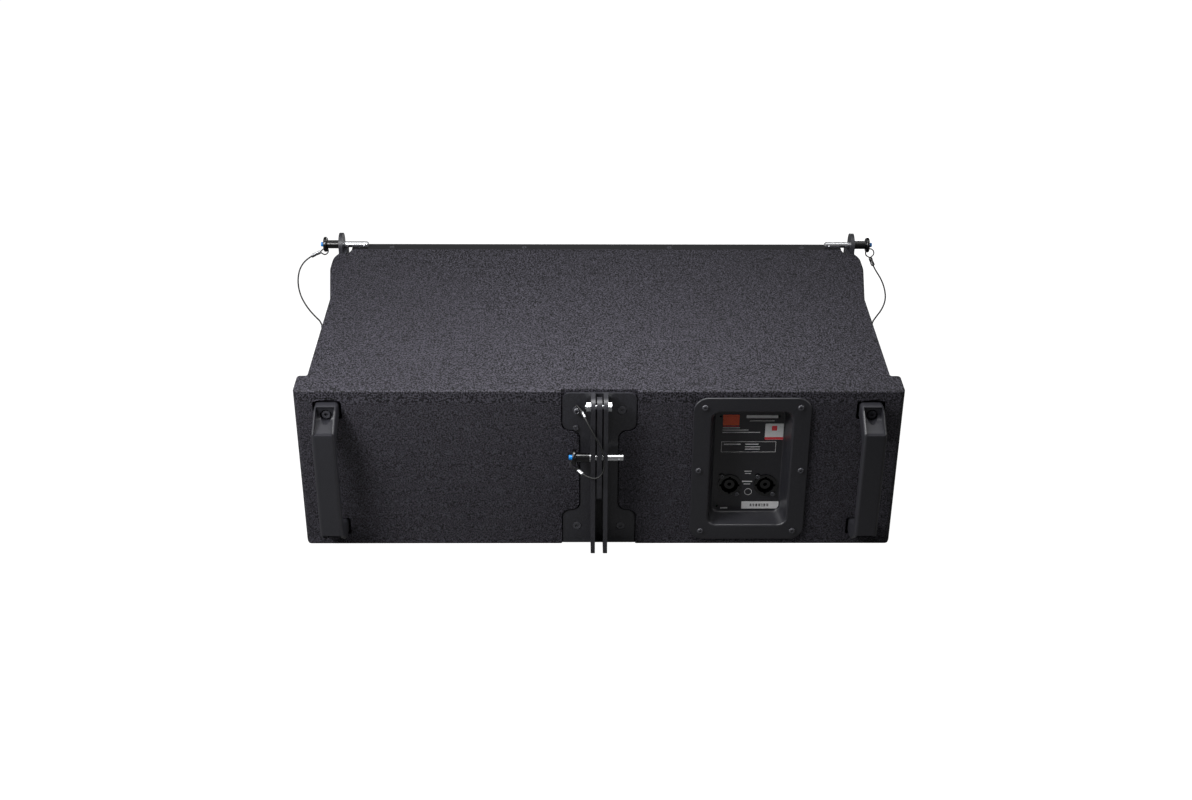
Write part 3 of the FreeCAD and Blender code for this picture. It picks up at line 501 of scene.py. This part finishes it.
def eyeShape(foot, centre, flat, radius):
    # a teardrop of rope that leaves the sleeve at foot and goes round centre
    way = (centre - foot).normalized()
    across = (flat - way * flat.dot(way)).normalized()
    apart, sweep, count = fitting["strandApartMm"] * mm, fitting["eyeSweep"], fitting["eyePoints"]
    bow = [foot - across * apart]
    for k in range(count + 1):
        turn = math.radians(-sweep / 2 + sweep * k / count)
        bow.append(centre + (way * math.cos(turn) + across * math.sin(turn)) * radius * mm)
    bow.append(foot + across * apart)
    path = evenSteps(bow, fitting["eyeStepMm"] * mm)
    return tubeAlong(path, lambda distance, turn: fitting["eyeRopeMm"] / 2 * mm, fitting["eyeSides"])


def addEnd(name, lines, body):
    end = ends[name]
    line = lines[end["rope"]][::-1] if end["reverse"] else lines[end["rope"]]
    flat = ownAxes @ Vector(end["flat"])
    first, last = end["sleeve"]
    sleeve = sleeveShape(line, first, last, flat)
    eye = eyeShape(alongRope(line, first * mm), onCabinet(*end["eye"]), flat, end["radius"])
    pieces = [
        newPiece(name + "_sleeve", *sleeve, finish[end.get("look", "sleeve")], "bright_steel", True),
        newPiece(name + "_eye", *eye, finish["cable"], "lanyard_black", True),
    ]
    for piece in pieces:
        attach(piece, body)
    return pieces


# A coated washer and a black button-head screw hold each eye to the cabinet. Each profile is
# (height above the wall, radius), the washer's closed round its hole.
eyeScrew = dict(
    washer=dict(look="steel", smooth=False, profile=[(0, 2.6), (0, 5.4), (0.9, 5.4), (1.0, 5.2),
                                                     (1.0, 2.6), (0, 2.6)]),
    head=dict(look="screw", smooth=True, profile=[(1.0, 0), (1.0, 4.4), (1.9, 4.3), (2.9, 3.5), (3.3, 2.4),
                                                  (3.3, 1.5), (2.0, 1.5), (2.0, 0)]))


def addEyeScrew(name, centre, way):
    start, way = onCabinet(*centre), ownAxes @ Vector(way)
    for part, row in eyeScrew.items():
        shape = lathe(row["profile"], start, way, fitting["screwSides"])
        made = newPiece("%s_%s" % (name, part), *shape, finish[row["look"]], "black_screws", row["smooth"])
        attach(made, "cabinet")


def addLanyards():
    lines = {name: smoothLine(name, points) for name, points in routes.items()}
    rearFittings = addEnd("rear_wall", lines, "cabinet") + addEnd("rear_pin", lines, "rear_pin")
    addRope("rear_lanyard_rope", lines["rear"], "lanyard_rear", rearFittings)
    addEyeScrew("rear_eye_screw", (25.5, 2.5, 79), (0, 1, 0))
    for side, out in (("left", -1), ("right", 1)):
        line = lines[side]
        middle = len(line) // 2
        lower, upper = line[middle:][::-1], line[:middle + 1][::-1]
        link, pin = "front_link_" + side, "front_pin_" + side
        addRope("%s_lanyard_rope_low" % side, lower, "lanyard_" + side,
                addEnd(side + "_wall", lines, "cabinet"))
        addRope("%s_lanyard_rope_high" % side, upper, None, addEnd(side + "_pin", lines, pin))
        addEyeScrew(side + "_eye_screw", (out * 340.9, ends[side + "_wall"]["eye"][1], 96), (out, 0, 0))
    return lines


for name, line in addLanyards().items():
    print("lanyard", name, "%.0f mm" % (lineLength(line) / mm))

# Front grille: 1.5 mm sheet punched all over, folded back at the top and the bottom.
grille = dict(front=375.0, half=328.5, slope=math.tan(math.radians(5.04)), rearHalf=103.0, sheet=1.5,
              flange=18.0, corner=3.0, margin=6.0, pitch=6.5, hole=5.0, lowered=0.2, behind=0.05,
              overlap=(3, 4), foldSteps=6)


def punchedField(halfX, halfZ):
    # hexagonal cells with a hexagonal hole each; shared corners are merged
    found, points, loops = {}, [], []
    pitch, outer = grille["pitch"], grille["pitch"] / math.sqrt(3)
    inner = grille["hole"] / math.sqrt(3)

    def corner(x, z):
        key = (round(x, 3), round(z, 3))
        if key not in found:
            found[key] = len(points)
            points.append(onCabinet(x, grille["behind"] - grille["front"], z))
        return found[key]

    rowStep = pitch * math.sqrt(3) / 2
    for row in range(-int(halfZ / rowStep), int(halfZ / rowStep) + 1):
        shift = pitch / 2 if row % 2 else 0
        for column in range(-int(halfX / pitch) - 1, int(halfX / pitch) + 2):
            x, z = column * pitch + shift, row * rowStep
            if abs(x) > halfX:
                continue
            ring = [(math.sin(math.radians(60 * k)), math.cos(math.radians(60 * k))) for k in range(6)]
            outside = [corner(x + outer * u, z + outer * v) for u, v in ring]
            inside = [corner(x + inner * u, z + inner * v) for u, v in ring]
            for k in range(6):
                n = (k + 1) % 6
                loops.append([outside[k], outside[n], inside[n], inside[k]])
    return points, loops


def foldedEdge(side):
    # the flange, the rounded fold and the plain margin, as one closed section along X
    top = grille["rearHalf"] + grille["front"] * grille["slope"]
    drop, sheet, r = grille["lowered"], grille["sheet"], grille["corner"]
    back = grille["front"] - grille["flange"]
    outside = [(-back, grille["rearHalf"] + back * grille["slope"] - drop)]
    outside += [(-grille["front"] + r - r * math.sin(t), top - drop - r + r * math.cos(t))
                for t in (math.radians(90 * k / grille["foldSteps"]) for k in range(grille["foldSteps"] + 1))]
    outside.append((-grille["front"], top - grille["margin"] - r))
    inside = [(-grille["front"] + sheet, top - grille["margin"] - r), (-grille["front"] + sheet, top - drop - r),
              (-grille["front"] + r, top - drop - sheet), (-back, outside[0][1] - sheet)]
    section = outside + inside
    points = [onCabinet(x, y, side * z) for x in (-grille["half"], grille["half"]) for y, z in section]
    return points, wallsAndEnds(len(section))


def fieldHeight():
    return grille["rearHalf"] + grille["front"] * grille["slope"] - grille["margin"] - grille["corner"]


def sideMargin(side):
    tall = fieldHeight()
    near, far = side * (grille["half"] - grille["margin"]), side * grille["half"]
    deep = (-grille["front"], -grille["front"] + grille["sheet"])
    points = [onCabinet(x, y, z) for x in (near, far) for y in deep for z in (-tall, tall)]
    return points, [[0, 1, 3, 2], [4, 6, 7, 5], [0, 4, 5, 1], [2, 3, 7, 6], [0, 2, 6, 4], [1, 5, 7, 3]]


def tidyNormals(piece, mergeMm=0.01):
    worked = bmesh.new()
    worked.from_mesh(piece.data)
    bmesh.ops.remove_doubles(worked, verts=worked.verts, dist=mergeMm * mm)
    bmesh.ops.recalc_face_normals(worked, faces=worked.faces)
    worked.to_mesh(piece.data)
    worked.free()


def addGrille():
    moreX, moreZ = grille["overlap"]
    cells = punchedField(grille["half"] - grille["margin"] + moreX, fieldHeight() + moreZ)
    field = newPiece("grille_punched_field", *cells, finish["grille"], "grille_black")
    tidyNormals(field)
    thick = field.modifiers.new("sheet", "SOLIDIFY")
    thick.thickness, thick.offset = grille["sheet"] * mm, -1
    applyModifiers(field)
    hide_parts("grille")
    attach(field, "cabinet")
    edges = joinShapes([foldedEdge(1), foldedEdge(-1), sideMargin(1), sideMargin(-1)])
    rim = newPiece("grille_folded_rim", *edges, finish["grille"], "grille_black")
    tidyNormals(rim)
    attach(rim, "cabinet")


def applyModifiers(piece):
    made = bpy.data.meshes.new_from_object(piece.evaluated_get(bpy.context.evaluated_depsgraph_get()))
    piece.modifiers.clear()
    piece.data = made


addGrille()
print("grille punched")

# Printed marks and stickers on the input panel: plain blocks and bars, no lettering.
# Each row is (x from, x to, z from, z to, corner radius), on the dish's floor.
panelMarks = dict(floorY=-20.0, mergeMm=0.001, barcode=dict(x=-204, step=1.9, z=(-62.6, -58.8)),
                  ring=dict(at=(-178.8, -42.2), inner=3.9, outer=4.5, thick=0.08, segments=40))
barcode = panelMarks["barcode"]
marks = {
    "white_ink": [
        (-209, -172, 57.6, 61.4, 0.6), (-205, -176, 53.6, 54.4, 0.2),
        (-165, -144.7, 44.3, 45.2, 0.2), (-175, -144.7, 41.3, 42.2, 0.2), (-189, -144.7, 38.3, 39.2, 0.2),
        (-208.5, -144, 25.9, 26.4, 0), (-208.5, -144, 12.2, 12.7, 0),
        (-208.5, -208, 12.7, 25.9, 0), (-144.5, -144, 12.7, 25.9, 0),
        (-167, -147, 22.2, 23.4, 0.3), (-188, -172, 22.2, 23.4, 0.3), (-190, -172, 18.8, 19.8, 0.3),
        (-190, -172, 15.6, 16.6, 0.3), (-182, -173, -14.4, -13.4, 0.3), (-181, -174, -17.4, -16.6, 0.3),
        (-183, -171, -28.6, -27.2, 0.3), (-181, -173, -32, -31, 0.3), (-155, -146.5, -65.5, -64, 0.2),
    ],
    "red_ink": [(-163.9, -144.7, 46.4, 47.2, 0)],
    "orange_badge": [(-163.9, -144.7, 48.2, 62.2, 0.8)],
    "white_sticker": [(-216.9, -194.6, 28.9, 50.4, 1.0), (-217, -171.7, -65.7, -55.7, 0.6)],
    "red_on_sticker": [(-216.9, -194.6, 29.1, 32.4, 0.8), (-208.6, -202.4, 41, 47.4, 0.8)],
    "black_on_sticker": [
        (barcode["x"] + barcode["step"] * k, barcode["x"] + barcode["step"] * k + wide, *barcode["z"], 0)
        for k, wide in enumerate((1.1, 0.6, 1.3, 0.8, 0.5, 1.2, 0.7, 1.4, 0.6, 1.0, 0.8, 1.2))],
}
markLayers = {
    # finish, and how far its back and its face stand off the dish's floor
    "white_ink": ("ink_white", 0.0, 0.08), "red_ink": ("ink_red", 0.0, 0.08),
    "orange_badge": ("badge_orange", 0.0, 0.3), "white_sticker": ("sticker_white", 0.0, 0.16),
    "red_on_sticker": ("ink_red", 0.16, 0.2), "black_on_sticker": ("ink_black", 0.16, 0.2),
}


def flatMark(x0, x1, z0, z1, radius, low, high):
    outline = []
    for cx, cz, first in ((x1, z1, 0), (x0, z1, 90), (x0, z0, 180), (x1, z0, 270)):
        inX, inZ = (1 if cx == x1 else -1), (1 if cz == z1 else -1)
        for k in range(4 if radius else 1):
            turn = math.radians(first + 30 * k)
            outline.append((cx - inX * radius + math.cos(turn) * radius,
                            cz - inZ * radius + math.sin(turn) * radius))
    points = [onCabinet(x, panelMarks["floorY"] + y, z) for y in (low, high) for x, z in outline]
    return points, wallsAndEnds(len(outline))


def addMarks():
    for name, rows in marks.items():
        look, low, high = markLayers[name]
        shape = joinShapes([flatMark(*row, low, high) for row in rows])
        made = newPiece("panel_" + name, *shape, finish[look], "black_plastic")
        tidyNormals(made, panelMarks["mergeMm"])
        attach(made, "cabinet")
    ring = panelMarks["ring"]
    inner, outer, thick = ring["inner"], ring["outer"], ring["thick"]
    profile = [(0, inner), (thick, inner), (thick, outer), (0, outer), (0, inner)]
    centre = onCabinet(ring["at"][0], panelMarks["floorY"], ring["at"][1])
    shape = lathe(profile, centre, ownBack, ring["segments"])
    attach(newPiece("panel_ring_mark", *shape, finish["ink_white"], "black_plastic"), "cabinet")


addMarks()
print("panel marks printed")

# Locking balls that stand just proud of each pin near its tip.
lockBall = dict(radius=1.25, sunk=0.55, fromTip=5.5, shaft=4.0, lift=0.6, steps=10, segments=16)
pinTips = dict(rear_pin=(-28.25, 13.0, 23.5, 1), front_pin_right=(306.45, -361.5, 139.6, 1),
               front_pin_left=(-306.45, -361.5, 139.6, -1))


def addLockBalls():
    radius, count = lockBall["radius"], lockBall["steps"]
    turns = [math.radians(180 * k / count) for k in range(count + 1)]
    profile = [(-radius * math.cos(turn), radius * math.sin(turn)) for turn in turns]
    profile[0], profile[-1] = (profile[0][0], 0), (profile[-1][0], 0)
    reach = lockBall["shaft"] - lockBall["sunk"]
    for pin, (x, y, z, way) in pinTips.items():
        shapes = []
        for side in (1, -1):
            centre = onCabinet(x + way * lockBall["fromTip"], y + side * reach, z - side * lockBall["lift"])
            shapes.append(lathe(profile, centre, ownBack, lockBall["segments"]))
        balls = newPiece(pin + "_lock_balls", *joinShapes(shapes), finish["zinc"], "bright_steel", True)
        tidyNormals(balls)
        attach(balls, pin)


addLockBalls()
print("pins finished")

# Studio: the floor and the surround look white to the camera alone. In the light that reaches the
# part the floor is a mid grey, which keeps its bounce off the rear face, and the surround is dim, or
# brighter in what shiny surfaces reflect. One softbox hangs close above the rear edge, one stands
# farther off at the left and one low in front. The panels light only what is glossy.
studio = dict(floorHalf=12.0, floor="#6c6c6c", floorRoughness=0.9, surround="#ffffff", surroundLight=0.015,
              surroundShine=0.22, backdropGlow=1.02)
softboxes = {
    "softbox_overhead": dict(at=(-0.03, 0.27, 0.69), aim=(-0.02, 0.1, 0.15), size=(0.5, 0.2), power=3.9),
    "softbox_left": dict(at=(0.62, 0.56, 0.72), aim=(0.2, 0.15, 0.12), size=(0.3, 0.3), power=7.6),
    "softbox_front": dict(at=(-0.5, -1.9, 0.25), aim=(0, 0, 0.15), size=(1.4, 0.5), power=12),
    "panel_left": dict(at=(1.3, 0.5, 0.7), aim=(0.3, 0, 0.2), size=(0.5, 0.9), power=9, glossOnly=True),
    "panel_right": dict(at=(-1.3, 0.5, 0.7), aim=(-0.3, 0, 0.2), size=(0.5, 0.9), power=7, glossOnly=True),
    "panel_above": dict(at=(0, 0.0, 1.3), aim=(0, -0.1, 0.2), size=(1.6, 0.4), power=5, glossOnly=True),
}


def addLight(name, at, aim, size, power, glossOnly=False):
    lamp = bpy.data.lights.new(name, "AREA")
    lamp.shape, lamp.size, lamp.size_y, lamp.energy = "RECTANGLE", size[0], size[1], power
    made = bpy.data.objects.new(name, lamp)
    made.location = at
    made.rotation_euler = (Vector(aim) - Vector(at)).to_track_quat("-Z", "Y").to_euler()
    made.visible_camera = False
    made.visible_diffuse = not glossOnly
    bpy.context.scene.collection.objects.link(made)


def addStudio():
    half = studio["floorHalf"]
    paper = newMaterial("floor_white", Base_Color=colour(studio["floor"]), Roughness=studio["floorRoughness"],
                        Emission_Color=colour(studio["surround"]))
    ray = addNode(paper, "LightPath")
    glow = addNode(paper, "Math", {"operation": "MULTIPLY", 1: studio["backdropGlow"]},
                   {0: ray.outputs["Is Camera Ray"]})
    feed(paper, Emission_Strength=glow.outputs["Value"])
    corners = [(-half, -half, 0), (half, -half, 0), (half, half, 0), (-half, half, 0)]
    newPiece("studio_floor", corners, [[0, 1, 2, 3]], paper)
    world = bpy.data.worlds.new("studio")
    world.use_nodes = True
    world.node_tree.nodes["Background"].inputs["Color"].default_value = colour(studio["surround"])
    ray = addNode(world, "LightPath")
    level = addNode(world, "MapRange", {"To Min": studio["surroundLight"], "To Max": studio["backdropGlow"]},
                    {"Value": ray.outputs["Is Camera Ray"]})
    shine = addNode(world, "Math", {"operation": "MULTIPLY_ADD", 1: studio["surroundShine"]},
                    {0: ray.outputs["Is Glossy Ray"], 2: level.outputs["Result"]})
    world.node_tree.links.new(shine.outputs["Value"], world.node_tree.nodes["Background"].inputs["Strength"])
    bpy.context.scene.world = world
    bpy.context.scene.view_settings.view_transform = "Standard"  # whites stay white and blacks deep
    for name, box in softboxes.items():
        addLight(name, **box)


addStudio()
print("studio lit")
